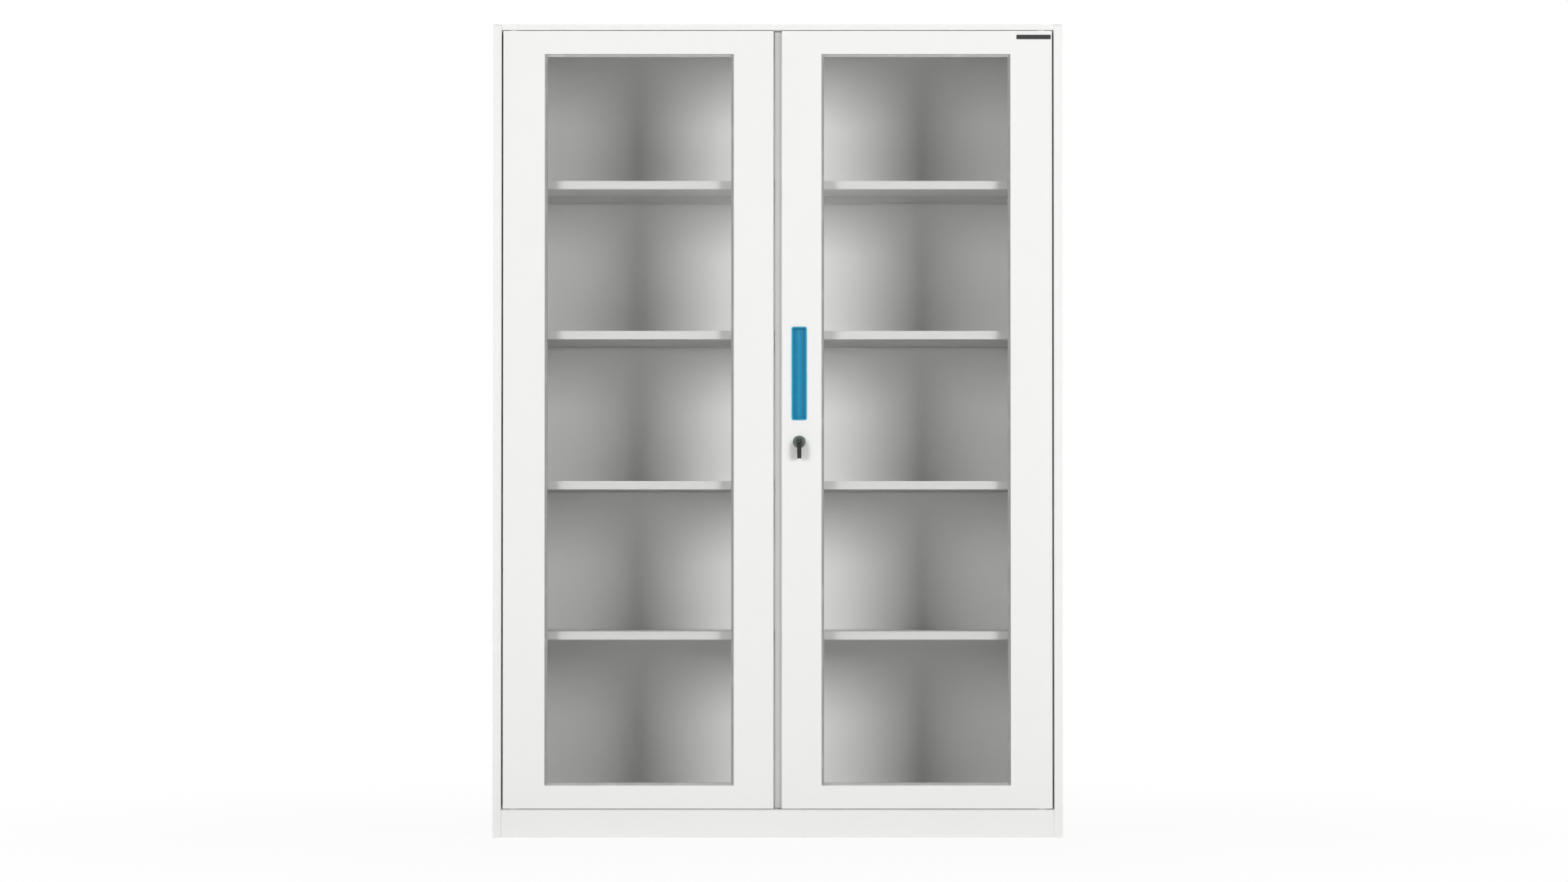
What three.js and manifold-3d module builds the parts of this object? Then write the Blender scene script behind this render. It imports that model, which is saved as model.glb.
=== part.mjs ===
// Free-standing glass door cabinet in folded sheet steel: two hinged glass doors, four shelves on clips,
// a flush pull and a keyed lock that drives a rod up and a rod down.
// Millimetres, +Z up. The doors face -Y and +X is on the right hand of someone facing them.
// The origin lies on the floor under the middle of the whole footprint, key included.

import * as THREE from 'three';
import { mergeVertices } from 'three/addons/utils/BufferGeometryUtils.js';
import Module from 'manifold-3d';

// Overall size of the cabinet, without the key
const WIDTH = 1225;
const DEPTH = 400;
const HEIGHT = 1750;

// Sheet steel and fits
const SHEET = 1;
const FIT = 0.3;
const ROUND_SIDES = 24;

// Carcass folds
const EDGE_FACE = 18;
const JAMB_DEPTH = 26;
const REAR_RETURN = 15;
const TOP_LIP = 12;
const TOP_RETURN = 45;
const PANEL_FLANGE = 25;
const FLOOR_HEIGHT = 60;
const RAIL_FLANGE = 30;

// Doors
const DOOR_THICKNESS = 22;
const DOOR_SIDE_GAP = 3.6;
const DOOR_END_GAP = 1.6;
const MEETING_RECESS = 18;
const MEETING_GAP = 3;
const LIP_SETBACK = 10;
const LIP_LEG = 11;
const LIP_END_INSET = 2;
const HINGE_INSET = 22;
const HINGE_SETBACK = 11;
const OUTER_STILE = 89.5;
const INNER_STILE = 85.5;
const DOOR_RAIL = 50;
const WINDOW_FOLD = 8;

// Glazing
const GLASS_THICKNESS = 4;
const GLASS_LAP = 10;
const GASKET_LEG = 1.4;
const GASKET_WALL = 1.5;
const GASKET_SHOW = 5.5;

// Door pivots
const PIN_RADIUS = 4;
const PIN_HEAD_RADIUS = 8;
const PIN_HEAD = 3;
const BUSH_RADIUS = 6;
const BUSH_FLANGE_RADIUS = 9;
const BUSH_HEAD_ROOM = 3;

// Magnetic catches
const CATCH_WIDTH = 40;
const CATCH_DEPTH = 14;
const CATCH_HEIGHT = 12;
const CATCH_FROM_EDGE = 50;
const CATCH_GAP = 0.5;

// Slotted uprights, shelves and clips
const UPRIGHT_WIDTH = 24;
const UPRIGHT_DEPTH = 10;
const UPRIGHT_SHEET = 1.5;
const FRONT_UPRIGHT_SETBACK = 70;
const REAR_UPRIGHT_SETBACK = 60;
const SLOT_WIDTH = 4;
const SLOT_HEIGHT = 14;
const SLOT_PITCH = 65;
const SLOT_END_MARGIN = 30;
const SHELF_COUNT = 4;
const SLOTS_PER_SHELF = 5;
const FIRST_SHELF_TOP = 442;
const SHELF_LIP = 18;
const SHELF_RETURN = 12;
const SHELF_SETBACK = 45;
const SHELF_BACK_GAP = 3;
const CLIP_SHEET = 1.5;
const CLIP_WIDTH = 18;
const CLIP_LEDGE = 14;
const CLIP_RISE = 16;
const CLIP_TAB_RISE = 10;
const CLIP_TAB_HEIGHT = 6;
const CLIP_NOSE = 3.5;

// Flush pull
const PULL_WIDTH = 32;
const PULL_HEIGHT = 201;
const PULL_PROUD = 2;
const PULL_BORDER = 3.5;
const PULL_WALL = 1.5;
const PULL_CORNER = 4;
const PULL_FROM_EDGE = 37.5;
const PULL_ABOVE_LOCK = 47;
const PULL_ROD_CLEARANCE = 2.5;

// Lock, rods and key
const LOCK_FROM_EDGE = 37.5;
const LOCK_HEIGHT = 850;
const BEZEL_RADIUS = 13.5;
const BEZEL_THICKNESS = 3.5;
const BEZEL_CHAMFER = 1;
const BARREL_RADIUS = 9.5;
const PLUG_RADIUS = 7;
const PLUG_PROUD = 0.5;
const PLUG_END_WALL = 2.5;
const NUT_RADIUS = 14;
const NUT_THICKNESS = 4;
const CAM_RADIUS = 15;
const CAM_THICKNESS = 2;
const CRANK_RADIUS = 10;
const CRANK_PIN_RADIUS = 2.5;
const CRANK_PIN_END = 0.7;
const ROD_WIDTH = 10;
const ROD_THICKNESS = 3;
const ROD_CAM_GAP = 0.9;
const ROD_BACK_CLEARANCE = 3.5;
const ROD_END_INSET = 2.5;
const YOKE_WALL = 3.5;
const YOKE_PLAY = 0.6;
const BLADE_THICKNESS = 1.8;
const BLADE_HEIGHT = 8;
const KEY_HINGE_REACH = 14;
const KEY_EYE_RADIUS = 5;
const KEY_PIN_RADIUS = 1.5;
const BOW_THICKNESS = 9;
const BOW_LENGTH = 36;
const BOW_HALF_WIDTH = 9;
const BOW_NECK_RADIUS = 6.5;
const BOW_SHOULDER = 14;
const BOW_RING_HOLE = 3;
const BOW_RING_EDGE = 4;

// Planes and lines that several pieces share
const keyReach = KEY_HINGE_REACH + BOW_HALF_WIDTH;
const frontY = keyReach - (DEPTH + keyReach) / 2;
const backY = frontY + DEPTH;
const halfWidth = WIDTH / 2;
const jambX = halfWidth - EDGE_FACE;
const jambBackY = frontY + JAMB_DEPTH;
const sideInnerX = halfWidth - SHEET - FIT;
const sideTop = HEIGHT - SHEET - FIT;
const backPanelY = backY - SHEET - FIT - SHEET;
const railTop = FLOOR_HEIGHT - SHEET - FIT;
const headerBottom = HEIGHT - TOP_LIP;
const doorBottom = FLOOR_HEIGHT + DOOR_END_GAP;
const doorTop = headerBottom - DOOR_END_GAP;
const doorInnerX = MEETING_RECESS / 2;
const doorOuterX = jambX - DOOR_SIDE_GAP;
const doorBackY = frontY + DOOR_THICKNESS;
const coverY = doorBackY - SHEET;
const pivotX = doorOuterX - HINGE_INSET;
const pivotY = frontY + HINGE_SETBACK;
const bushLength = TOP_LIP - SHEET - BUSH_HEAD_ROOM;
const windowInnerX = doorInnerX + INNER_STILE;
const windowOuterX = doorOuterX - OUTER_STILE;
const windowBottom = doorBottom + DOOR_RAIL;
const windowTop = doorTop - DOOR_RAIL;
const gasketFrontY = frontY + WINDOW_FOLD + FIT;
const glassFrontY = gasketFrontY + GASKET_LEG + FIT;
const glassBackY = glassFrontY + GLASS_THICKNESS;
const gasketBackY = glassBackY + FIT + GASKET_LEG;
const retainerY = gasketBackY + FIT;
const webX = sideInnerX - UPRIGHT_DEPTH;
const clipPlateX = webX - FIT - CLIP_SHEET;
const shelfHalfWidth = clipPlateX - FIT;
const shelfFrontY = frontY + SHELF_SETBACK;
const shelfBackY = backPanelY - SHELF_BACK_GAP;
const shelfPitch = SLOTS_PER_SHELF * SLOT_PITCH;
const lockX = doorInnerX + LOCK_FROM_EDGE;
const pullCentreHeight = LOCK_HEIGHT + PULL_ABOVE_LOCK + PULL_HEIGHT / 2;
const rodBackY = coverY - ROD_BACK_CLEARANCE;
const rodFrontY = rodBackY - ROD_THICKNESS;
const camBackY = rodFrontY - ROD_CAM_GAP;
const camFrontY = camBackY - CAM_THICKNESS;
const plugBackY = camFrontY - FIT;
const bezelFrontY = frontY - FIT - BEZEL_THICKNESS;
const plugFrontY = bezelFrontY - PLUG_PROUD;
const keyTipY = plugBackY - PLUG_END_WALL;
const keyHingeY = frontY - KEY_HINGE_REACH;
const crankOffset = CRANK_RADIUS * Math.SQRT1_2;
const yokeHalfHeight = CRANK_PIN_RADIUS + YOKE_PLAY;
const rodOffset = (CRANK_RADIUS + crankOffset) / 2;
const yokeHalfWidth = CRANK_RADIUS - rodOffset + yokeHalfHeight;

// Paints, plastics and metals of the photographed cabinet
const PAINT = { color: 0xf2f2f1, roughness: 0.45, metalness: 0 };
const ZINC = { color: 0xb4b6b8, roughness: 0.35, metalness: 1 };
const GLASS = { color: 0xdfe7e4, roughness: 0.05, metalness: 0, transparent: true, opacity: 0.25 };
const GASKET = { color: 0xc9cbca, roughness: 0.7, metalness: 0 };
const NYLON = { color: 0xe9e8e2, roughness: 0.5, metalness: 0 };
const CATCH_PLASTIC = { color: 0xd8d8d6, roughness: 0.5, metalness: 0 };
const PULL_PLASTIC = { color: 0x238cb4, roughness: 0.4, metalness: 0 };
const NICKEL = { color: 0x8a8f8c, roughness: 0.25, metalness: 1 };
const KEY_PLASTIC = { color: 0x1c1a1b, roughness: 0.45, metalness: 0 };

const wasm = await Module();
wasm.setup();

// Turns a closed geometry into a solid: shared corners are merged and collapsed triangles dropped.
function solid(geometry) {
  geometry.deleteAttribute('normal');
  geometry.deleteAttribute('uv');
  const merged = mergeVertices(geometry, 1e-4);
  const corners = merged.index.array;
  const triVerts = [];
  for (let i = 0; i < corners.length; i += 3) {
    const [a, b, c] = [corners[i], corners[i + 1], corners[i + 2]];
    if (a !== b && b !== c && c !== a) triVerts.push(a, b, c);
  }
  return new wasm.Manifold(new wasm.Mesh({
    numProp: 3,
    vertProperties: Float32Array.from(merged.attributes.position.array),
    triVerts: Uint32Array.from(triVerts),
  }));
}

// Puts every corner of a two-ended geometry exactly on its low or its high end along one axis.
function snapEnds(geometry, axis, from, to) {
  const position = geometry.attributes.position;
  const low = Math.min(from, to);
  const high = Math.max(from, to);
  const index = { x: 0, y: 1, z: 2 }[axis];
  for (let i = 0; i < position.count; i += 1) {
    const nearHigh = position.getComponent(i, index) > (low + high) / 2;
    position.setComponent(i, index, nearHigh ? high : low);
  }
  return geometry;
}

// A solid box between two values on each axis, given in either order.
function box([xa, xb], [ya, yb], [za, zb]) {
  const geometry = new THREE.BoxGeometry(Math.abs(xb - xa), Math.abs(yb - ya), Math.abs(zb - za));
  geometry.translate((xa + xb) / 2, (ya + yb) / 2, (za + zb) / 2);
  snapEnds(geometry, 'x', xa, xb);
  snapEnds(geometry, 'y', ya, yb);
  snapEnds(geometry, 'z', za, zb);
  return solid(geometry);
}

function union(pieces) {
  return pieces.reduce((whole, piece) => whole.add(piece));
}

function cut(body, tools) {
  return tools.reduce((rest, tool) => rest.subtract(tool), body);
}

// A cylinder along X, Y or Z, from one value to another on that axis.
function rod(axis, radius, [from, to], [u, v], sides = ROUND_SIDES) {
  const geometry = new THREE.CylinderGeometry(radius, radius, Math.abs(to - from), sides);
  const middle = (from + to) / 2;
  if (axis === 'x') geometry.rotateZ(Math.PI / 2).translate(middle, u, v);
  if (axis === 'y') geometry.translate(u, middle, v);
  if (axis === 'z') geometry.rotateX(Math.PI / 2).translate(u, v, middle);
  return solid(snapEnds(geometry, axis, from, to));
}

// A flat outline in X and Y, raised from one height to another.
function prism(outline, [bottom, top]) {
  const geometry = new THREE.ExtrudeGeometry(outline, { depth: top - bottom, bevelEnabled: false });
  return solid(snapEnds(geometry.translate(0, 0, bottom), 'z', bottom, top));
}

// The section of a sheet folded along a line of points, with its thickness on the right of the line.
function foldedSection(points, thickness) {
  const normals = points.slice(1).map((point, i) => {
    const along = point.clone().sub(points[i]).normalize();
    return new THREE.Vector2(along.y, -along.x);
  });
  const inner = points.map((point, i) => {
    const before = normals[Math.max(i - 1, 0)];
    const after = normals[Math.min(i, normals.length - 1)];
    const mitre = before.clone().add(after).divideScalar(1 + before.dot(after));
    return point.clone().addScaledVector(mitre, thickness);
  });
  return new THREE.Shape([...points, ...inner.reverse()]);
}

// A folded section on the right hand side of the cabinet, or its mirror image on the left.
function handedSection(side, pairs, thickness) {
  const points = pairs.map(([x, y]) => new THREE.Vector2(side * x, y));
  return foldedSection(side > 0 ? points : points.reverse(), thickness);
}

const cabinet = new THREE.Group();

function addPiece(name, shape, finish) {
  const mesh = shape.getMesh();
  const geometry = new THREE.BufferGeometry();
  geometry.setAttribute('position', new THREE.BufferAttribute(mesh.vertProperties, mesh.numProp));
  geometry.setIndex(new THREE.BufferAttribute(mesh.triVerts, 1));
  geometry.computeVertexNormals();
  const piece = new THREE.Mesh(geometry, new THREE.MeshStandardMaterial(finish));
  piece.name = name;
  cabinet.add(piece);
}

const SIDES = [['left', -1], ['right', 1]];

// Holes that the pivot bushes need in a plate, one for each door
function bushHoles(zRange) {
  return SIDES.map(([, side]) => rod('z', BUSH_RADIUS + FIT, zRange, [side * pivotX, pivotY]));
}

// Slot that a locking rod passes through, on the rod's own side of the lock
function rodSlot(rodSide, zRange) {
  const centre = lockX + rodSide * rodOffset;
  const half = ROD_WIDTH / 2 + FIT;
  return box([centre - half, centre + half], [rodFrontY - FIT, rodBackY + FIT], zRange);
}

const UPPER_ROD_SIDE = -1;
const LOWER_ROD_SIDE = 1;

function addSidePanels() {
  for (const [hand, side] of SIDES) {
    const section = handedSection(side, [
      [halfWidth - REAR_RETURN, backY],
      [halfWidth, backY],
      [halfWidth, frontY],
      [jambX, frontY],
      [jambX, jambBackY],
    ], SHEET);
    addPiece(`${hand}_side_panel`, prism(section, [0, sideTop]), PAINT);
  }
}

function addTopPanel() {
  const lipHalf = jambX - FIT;
  const flangeY = [jambBackY + FIT, backPanelY - FIT];
  const flangeZ = [HEIGHT - PANEL_FLANGE, HEIGHT];
  const shell = union([
    box([-halfWidth, halfWidth], [frontY, backY], [HEIGHT - SHEET, HEIGHT]),
    box([-lipHalf, lipHalf], [frontY, frontY + SHEET], [headerBottom, HEIGHT]),
    box([-lipHalf, lipHalf], [frontY, frontY + TOP_RETURN], [headerBottom, headerBottom + SHEET]),
    box([-sideInnerX, sideInnerX], [flangeY[1] - SHEET, flangeY[1]], flangeZ),
    ...SIDES.map(([, side]) => box([side * sideInnerX, side * (sideInnerX - SHEET)], flangeY, flangeZ)),
  ]);
  const through = [headerBottom - SHEET, headerBottom + 2 * SHEET];
  addPiece('top_panel', cut(shell, [...bushHoles(through), rodSlot(UPPER_ROD_SIDE, through)]), PAINT);
}

function addFloorPanel() {
  const frontHalf = jambX - FIT;
  const plateZ = [FLOOR_HEIGHT - SHEET, FLOOR_HEIGHT];
  const wideY = [jambBackY + FIT, backPanelY - FIT];
  const flangeZ = [FLOOR_HEIGHT - PANEL_FLANGE, FLOOR_HEIGHT];
  const shell = union([
    box([-frontHalf, frontHalf], [frontY, wideY[1]], plateZ),
    box([-sideInnerX, sideInnerX], wideY, plateZ),
    ...SIDES.map(([, side]) => box([side * sideInnerX, side * (sideInnerX - SHEET)], wideY, flangeZ)),
  ]);
  const through = [FLOOR_HEIGHT - 2 * SHEET, FLOOR_HEIGHT + SHEET];
  addPiece('floor_panel', cut(shell, [...bushHoles(through), rodSlot(LOWER_ROD_SIDE, through)]), PAINT);
}

// A channel rail standing on the floor: an upright face with a flange at its foot and one at its head
function channelRail(half, faceY, towards) {
  const across = [-half, half];
  const flangeY = [faceY, faceY + towards * RAIL_FLANGE];
  return union([
    box(across, [faceY, faceY + towards * SHEET], [0, railTop]),
    box(across, flangeY, [0, SHEET]),
    box(across, flangeY, [railTop - SHEET, railTop]),
  ]);
}

function addBaseRails() {
  const through = [railTop - 2 * SHEET, railTop + SHEET];
  const holes = [...bushHoles(through), rodSlot(LOWER_ROD_SIDE, through)];
  addPiece('kick_plate', cut(channelRail(jambX - FIT, frontY, 1), holes), PAINT);
  addPiece('rear_base_rail', channelRail(sideInnerX - SHEET - FIT, backPanelY - FIT, -1), PAINT);
}

function addBackPanel() {
  const panel = box([-sideInnerX, sideInnerX], [backPanelY, backPanelY + SHEET], [0, sideTop]);
  addPiece('back_panel', panel, PAINT);
}

const firstClipTop = FIRST_SHELF_TOP - SHELF_LIP - FIT;
const firstSlotHeight = firstClipTop + CLIP_TAB_RISE - CLIP_TAB_HEIGHT / 2 - FIT + SLOT_HEIGHT / 2;
const uprightBottom = FLOOR_HEIGHT + FIT;
const uprightTop = HEIGHT - PANEL_FLANGE - FIT;
const UPRIGHTS = [
  ['front', frontY + FRONT_UPRIGHT_SETBACK],
  ['rear', backY - REAR_UPRIGHT_SETBACK - UPRIGHT_WIDTH],
];

// Heights of the slots, in step with the first shelf and as many as the upright holds
function slotHeights() {
  const low = uprightBottom + SLOT_END_MARGIN;
  const high = uprightTop - SLOT_END_MARGIN;
  const below = Math.floor((firstSlotHeight - low) / SLOT_PITCH);
  const above = Math.floor((high - firstSlotHeight) / SLOT_PITCH);
  return Array.from({ length: below + above + 1 }, (_, i) => firstSlotHeight + (i - below) * SLOT_PITCH);
}

function addUprights() {
  for (const [hand, side] of SIDES) {
    for (const [place, nearY] of UPRIGHTS) {
      const section = handedSection(side, [
        [sideInnerX, nearY],
        [webX, nearY],
        [webX, nearY + UPRIGHT_WIDTH],
        [sideInnerX, nearY + UPRIGHT_WIDTH],
      ], UPRIGHT_SHEET);
      const middleY = nearY + UPRIGHT_WIDTH / 2;
      const slotY = [middleY - SLOT_WIDTH / 2, middleY + SLOT_WIDTH / 2];
      const slotX = [side * (webX - UPRIGHT_SHEET), side * (webX + 2 * UPRIGHT_SHEET)];
      const slots = slotHeights().map((z) => box(slotX, slotY, [z - SLOT_HEIGHT / 2, z + SLOT_HEIGHT / 2]));
      addPiece(`${hand}_${place}_upright`, cut(prism(section, [uprightBottom, uprightTop]), slots), PAINT);
    }
  }
}

// A tray turned upside down: plate on top, lips all round and a narrow return at the foot of the lips
function shelfTray(top) {
  const bottom = top - SHELF_LIP;
  const inset = (range, by) => [range[0] + by, range[1] - by];
  const x = [-shelfHalfWidth, shelfHalfWidth];
  const y = [shelfFrontY, shelfBackY];
  return cut(box(x, y, [bottom, top]), [
    box(inset(x, SHEET), inset(y, SHEET), [bottom + SHEET, top - SHEET]),
    box(inset(x, SHELF_RETURN), inset(y, SHELF_RETURN), [bottom - SHEET, top - SHEET]),
  ]);
}

// A clip: ledge under the shelf, plate against the upright, tab through the slot and nose down behind it
function shelfClip(side, nearY, ledgeTop) {
  const middleY = nearY + UPRIGHT_WIDTH / 2;
  const plateY = [middleY - CLIP_WIDTH / 2, middleY + CLIP_WIDTH / 2];
  const tabHalf = SLOT_WIDTH / 2 - FIT;
  const tabY = [middleY - tabHalf, middleY + tabHalf];
  const tabZ = ledgeTop + CLIP_TAB_RISE;
  const tabLow = tabZ - CLIP_TAB_HEIGHT / 2;
  const tabHigh = tabZ + CLIP_TAB_HEIGHT / 2;
  const ledgeLow = ledgeTop - CLIP_SHEET;
  const plateX = [side * clipPlateX, side * (clipPlateX + CLIP_SHEET)];
  const noseX = webX + UPRIGHT_SHEET + FIT;
  return union([
    box(plateX, plateY, [ledgeLow, ledgeTop + CLIP_RISE]),
    box([side * (clipPlateX - CLIP_LEDGE), plateX[1]], plateY, [ledgeLow, ledgeTop]),
    box([plateX[0], side * (noseX + CLIP_SHEET)], tabY, [tabLow, tabHigh]),
    box([side * noseX, side * (noseX + CLIP_SHEET)], tabY, [tabLow - CLIP_NOSE, tabHigh]),
  ]);
}

function addShelves() {
  for (let i = 0; i < SHELF_COUNT; i += 1) {
    const top = FIRST_SHELF_TOP + i * shelfPitch;
    const ledgeTop = firstClipTop + i * shelfPitch;
    addPiece(`shelf_${i + 1}`, shelfTray(top), PAINT);
    for (const [hand, side] of SIDES) {
      for (const [place, nearY] of UPRIGHTS) {
        addPiece(`shelf_${i + 1}_clip_${hand}_${place}`, shelfClip(side, nearY, ledgeTop), ZINC);
      }
    }
  }
}

// The space of a door's window, grown outwards by a margin
function windowBox(side, margin, yRange) {
  return box(
    [side * (windowInnerX - margin), side * (windowOuterX + margin)],
    yRange,
    [windowBottom - margin, windowTop + margin],
  );
}

// Front pan of a door: face, four edges and a fold round the window, open at the back
function doorPan(side) {
  const x = [side * doorInnerX, side * doorOuterX];
  const inner = [side * (doorInnerX + SHEET), side * (doorOuterX - SHEET)];
  const pocketZ = [doorBottom + SHEET, doorTop - SHEET];
  const pan = cut(box(x, [frontY, doorBackY], [doorBottom, doorTop]), [
    box(inner, [frontY + SHEET, doorBackY + SHEET], pocketZ),
  ]);
  const folded = pan.add(windowBox(side, SHEET, [frontY, frontY + WINDOW_FOLD]));
  const pinHole = rod('z', PIN_RADIUS + FIT, [doorBottom - SHEET, doorTop + SHEET], [side * pivotX, pivotY]);
  return cut(folded, [windowBox(side, 0, [frontY - SHEET, doorBackY]), pinHole]);
}

// Back cover of a door, with a fold towards the glass that holds it in place
function doorCover(side) {
  const plate = box(
    [side * (doorInnerX + SHEET + FIT), side * (doorOuterX - SHEET - FIT)],
    [coverY, doorBackY],
    [doorBottom + SHEET + FIT, doorTop - SHEET - FIT],
  );
  const folded = plate.add(windowBox(side, SHEET, [retainerY, doorBackY]));
  return cut(folded, [windowBox(side, 0, [retainerY - SHEET, doorBackY + SHEET])]);
}

// Rubber channel round the edge of the glass, with a thin lip that shows inside the window
function doorGasket(side) {
  const outer = windowBox(side, GLASS_LAP + FIT + GASKET_WALL, [gasketFrontY, gasketBackY]);
  return cut(outer, [
    windowBox(side, GLASS_LAP + FIT, [glassFrontY - FIT, glassBackY + FIT]),
    windowBox(side, -GASKET_SHOW, [gasketFrontY - SHEET, gasketBackY + SHEET]),
  ]);
}

// A pivot pin and its bush. Up is 1 at the top of the door and -1 at its foot.
function pivotPair(side, up) {
  const doorEdge = up > 0 ? doorTop : doorBottom;
  const plate = up > 0 ? headerBottom : FLOOR_HEIGHT;
  const end = plate + up * bushLength;
  const headFar = doorEdge - up * (SHEET + FIT + PIN_HEAD);
  const headNear = doorEdge - up * (SHEET + FIT);
  const place = [side * pivotX, pivotY];
  const pin = rod('z', PIN_HEAD_RADIUS, [headFar, headNear], place).add(rod('z', PIN_RADIUS, [headFar, end], place));
  const flange = [doorEdge + up * FIT, plate - up * FIT];
  const bush = rod('z', BUSH_FLANGE_RADIUS, flange, place).add(rod('z', BUSH_RADIUS, [flange[0], end], place));
  const bore = rod('z', PIN_RADIUS + FIT, [flange[0] - up * SHEET, end + up * SHEET], place);
  return { pin, bush: bush.subtract(bore) };
}

function addDoorFrames() {
  for (const [hand, side] of SIDES) {
    const pan = doorPan(side);
    const shape = side > 0 ? cut(pan, rightDoorOpenings()) : pan;
    addPiece(`${hand}_door_frame`, shape, PAINT);
    addPiece(`${hand}_door_back_cover`, doorCover(side), PAINT);
    addPiece(`${hand}_door_glass`, windowBox(side, GLASS_LAP, [glassFrontY, glassBackY]), GLASS);
    addPiece(`${hand}_door_gasket`, doorGasket(side), GASKET);
    for (const [place, up] of [['top', 1], ['bottom', -1]]) {
      const { pin, bush } = pivotPair(side, up);
      addPiece(`${hand}_${place}_pivot_pin`, pin, ZINC);
      addPiece(`${hand}_${place}_pivot_bush`, bush, NYLON);
    }
  }
}

// Closing lip on the free edge of the right door, set back behind its face and short of the left door
function addClosingLip() {
  const legX = doorInnerX - FIT;
  const faceY = frontY + LIP_SETBACK;
  const section = foldedSection([
    new THREE.Vector2(legX, faceY + LIP_LEG),
    new THREE.Vector2(legX, faceY),
    new THREE.Vector2(MEETING_GAP - doorInnerX, faceY),
  ], SHEET);
  addPiece('right_door_closing_lip', prism(section, [doorBottom + LIP_END_INSET, doorTop - LIP_END_INSET]), PAINT);
}

function addCatches() {
  for (const [hand, side] of SIDES) {
    const centre = side * (doorInnerX + CATCH_FROM_EDGE);
    const nearY = doorBackY + CATCH_GAP;
    const body = box(
      [centre - CATCH_WIDTH / 2, centre + CATCH_WIDTH / 2],
      [nearY, nearY + CATCH_DEPTH],
      [headerBottom - FIT - CATCH_HEIGHT, headerBottom - FIT],
    );
    addPiece(`${hand}_magnetic_catch`, body, CATCH_PLASTIC);
  }
}

const pullX = doorInnerX + PULL_FROM_EDGE;
const pullCupBackY = rodFrontY - PULL_ROD_CLEARANCE;
const cupHalfWidth = PULL_WIDTH / 2 - PULL_BORDER;
const cupHalfHeight = PULL_HEIGHT / 2 - PULL_BORDER;

function cupBox(grow, yRange) {
  return box(
    [pullX - cupHalfWidth - grow, pullX + cupHalfWidth + grow],
    yRange,
    [pullCentreHeight - cupHalfHeight - grow, pullCentreHeight + cupHalfHeight + grow],
  );
}

// A slab facing the front, with round corners, between two values of Y
function roundedSlab(width, height, corner, [nearY, farY], [x, z]) {
  const outline = new THREE.Shape();
  const right = width / 2 - corner;
  const high = height / 2 - corner;
  outline.absarc(right, high, corner, 0, Math.PI / 2);
  outline.absarc(-right, high, corner, Math.PI / 2, Math.PI);
  outline.absarc(-right, -high, corner, Math.PI, 1.5 * Math.PI);
  outline.absarc(right, -high, corner, 1.5 * Math.PI, 2 * Math.PI);
  const geometry = new THREE.ExtrudeGeometry(outline, {
    depth: farY - nearY,
    bevelEnabled: false,
    curveSegments: 4,
  });
  geometry.rotateX(Math.PI / 2).translate(x, farY, z);
  return solid(snapEnds(geometry, 'y', nearY, farY));
}

function addPull() {
  const plateY = [frontY - FIT - PULL_PROUD, frontY - FIT];
  const plate = roundedSlab(PULL_WIDTH, PULL_HEIGHT, PULL_CORNER, plateY, [pullX, pullCentreHeight]);
  const cup = cupBox(0, [plateY[0] + PULL_WALL / 2, pullCupBackY]);
  const recess = cupBox(-PULL_WALL, [plateY[0] - SHEET, pullCupBackY - PULL_WALL]);
  addPiece('door_pull', plate.add(cup).subtract(recess), PULL_PLASTIC);
}

// What the right door's pan is pierced by: the pull's cup, the lock's barrel and the ends of the rods
function rightDoorOpenings() {
  const faceY = [frontY - SHEET, frontY + 2 * SHEET];
  return [
    cupBox(FIT, faceY),
    rod('y', BARREL_RADIUS + FIT, faceY, [lockX, LOCK_HEIGHT]),
    rodSlot(UPPER_ROD_SIDE, [doorTop - 2 * SHEET, doorTop + SHEET]),
    rodSlot(LOWER_ROD_SIDE, [doorBottom - SHEET, doorBottom + 2 * SHEET]),
  ];
}

// Round lock housing: bezel in front of the door, barrel through it and a bore for the plug
function lockHousing() {
  const boreRadius = PLUG_RADIUS + FIT;
  const profile = [
    [boreRadius, bezelFrontY],
    [boreRadius, plugBackY],
    [BARREL_RADIUS, plugBackY],
    [BARREL_RADIUS, bezelFrontY + BEZEL_THICKNESS],
    [BEZEL_RADIUS, bezelFrontY + BEZEL_THICKNESS],
    [BEZEL_RADIUS, bezelFrontY + BEZEL_CHAMFER],
    [BEZEL_RADIUS - BEZEL_CHAMFER, bezelFrontY],
    [boreRadius, bezelFrontY],
  ].reverse();
  const points = profile.map(([radius, y]) => new THREE.Vector2(radius, y));
  return solid(new THREE.LatheGeometry(points, ROUND_SIDES).translate(lockX, 0, LOCK_HEIGHT));
}

// Where a crank pin stands at rest, from the lock's axis. The upper rod's pin is low and rises.
function crankPlace(rodSide) {
  return [lockX + rodSide * crankOffset, LOCK_HEIGHT + rodSide * crankOffset];
}

function lockCam() {
  const disc = rod('y', CAM_RADIUS, [camFrontY, camBackY], [lockX, LOCK_HEIGHT]);
  const pins = [UPPER_ROD_SIDE, LOWER_ROD_SIDE].map((rodSide) => (
    rod('y', CRANK_PIN_RADIUS, [camFrontY, rodBackY + CRANK_PIN_END], crankPlace(rodSide))
  ));
  return union([disc, ...pins]);
}

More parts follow.
